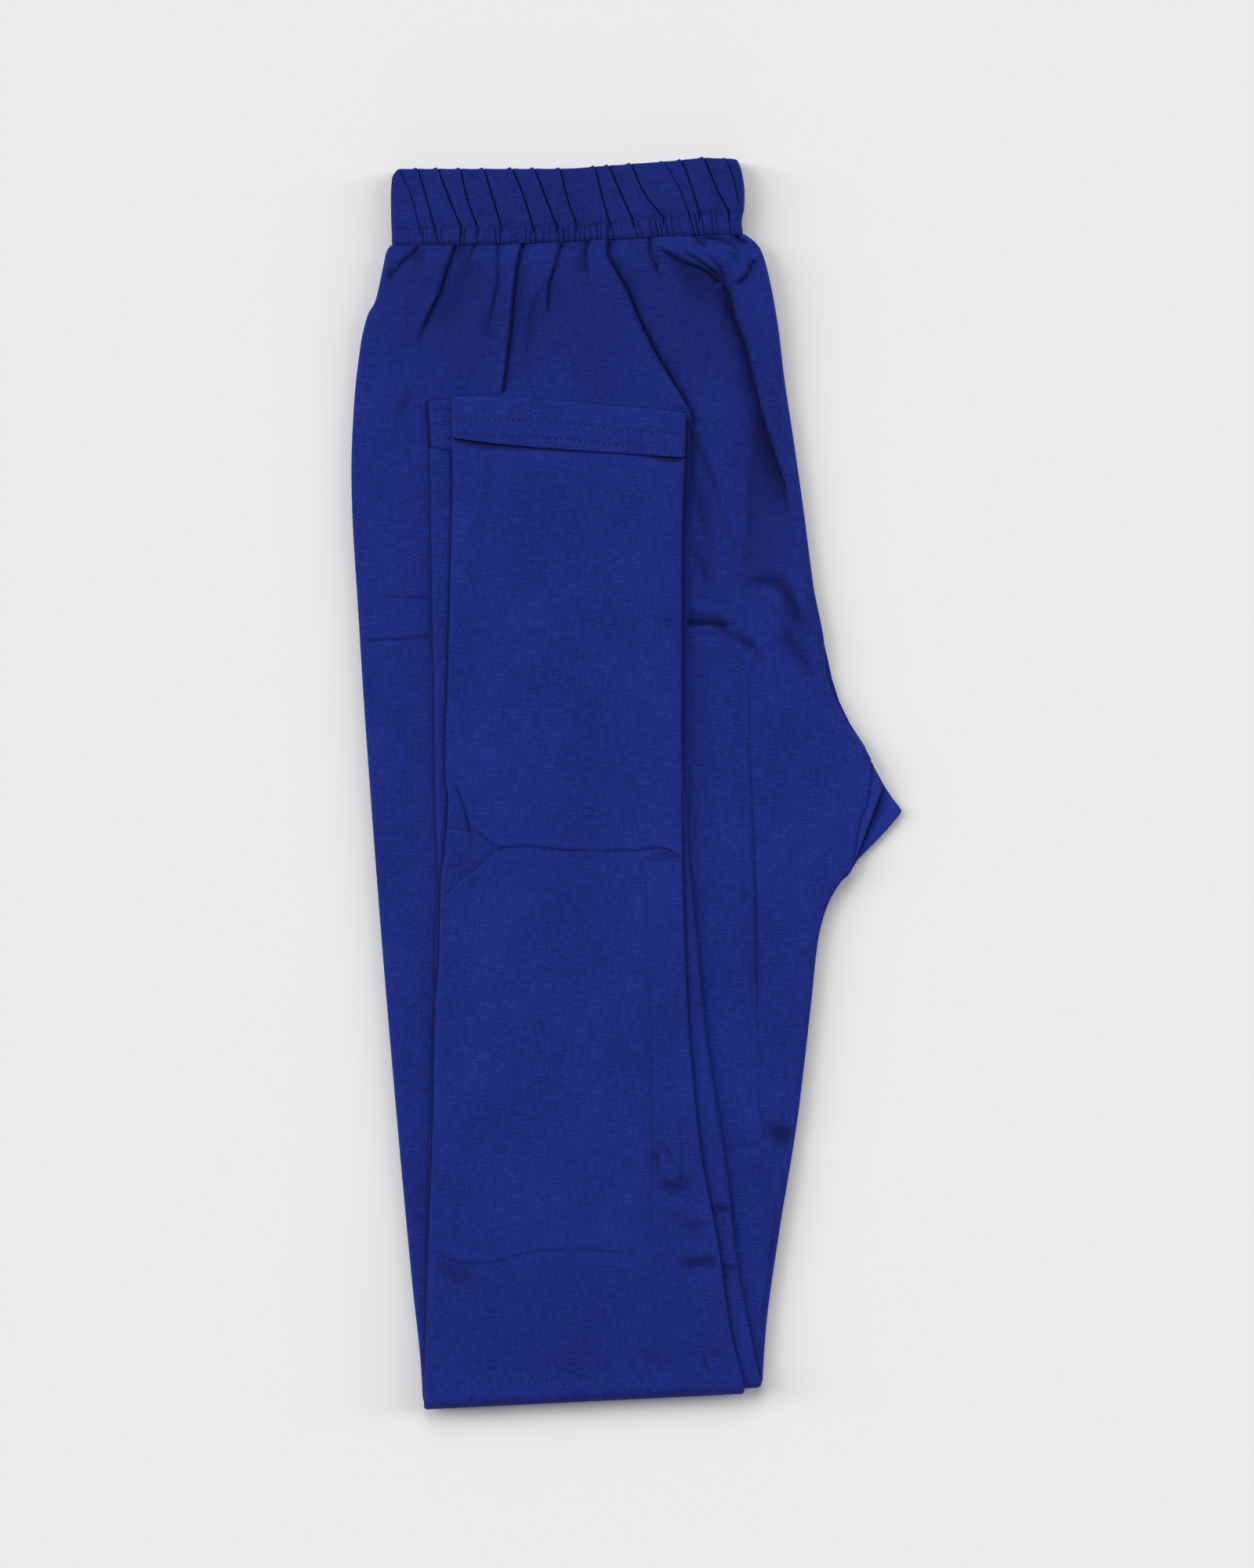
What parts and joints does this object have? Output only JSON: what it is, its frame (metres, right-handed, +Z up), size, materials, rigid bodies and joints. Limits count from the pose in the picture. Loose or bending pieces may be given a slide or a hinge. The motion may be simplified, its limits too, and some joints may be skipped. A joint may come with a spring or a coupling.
{
  "type": "leggings",
  "caption": "Plain jersey leggings with a gathered elastic waistband, folded in half along the centre seam with the lower legs folded up, lying flat.",
  "frame": {"origin": "middle of the bounding box's underside, on the surface that the folded garment lies on", "axes": "+Y along the garment to the waistband, +X across it to the centre seam, +Z up off the surface"},
  "size_m": [0.2454, 0.5577, 0.0124],
  "materials": {
    "waistband": "matte jersey",
    "waist_seam_band": "matte jersey",
    "near_leg": "matte jersey",
    "far_leg": "matte jersey",
    "near_leg_hem": "matte jersey",
    "far_leg_hem": "matte jersey",
    "crotch_gusset": "matte jersey"
  },
  "bodies": {
    "root": {"waistband": "waistband", "waist_seam_band": "waist_seam_band", "near_leg": "near_leg", "far_leg": "far_leg", "near_leg_hem": "near_leg_hem", "far_leg_hem": "far_leg_hem", "crotch_gusset": "crotch_gusset"}
  },
  "joints": []
}
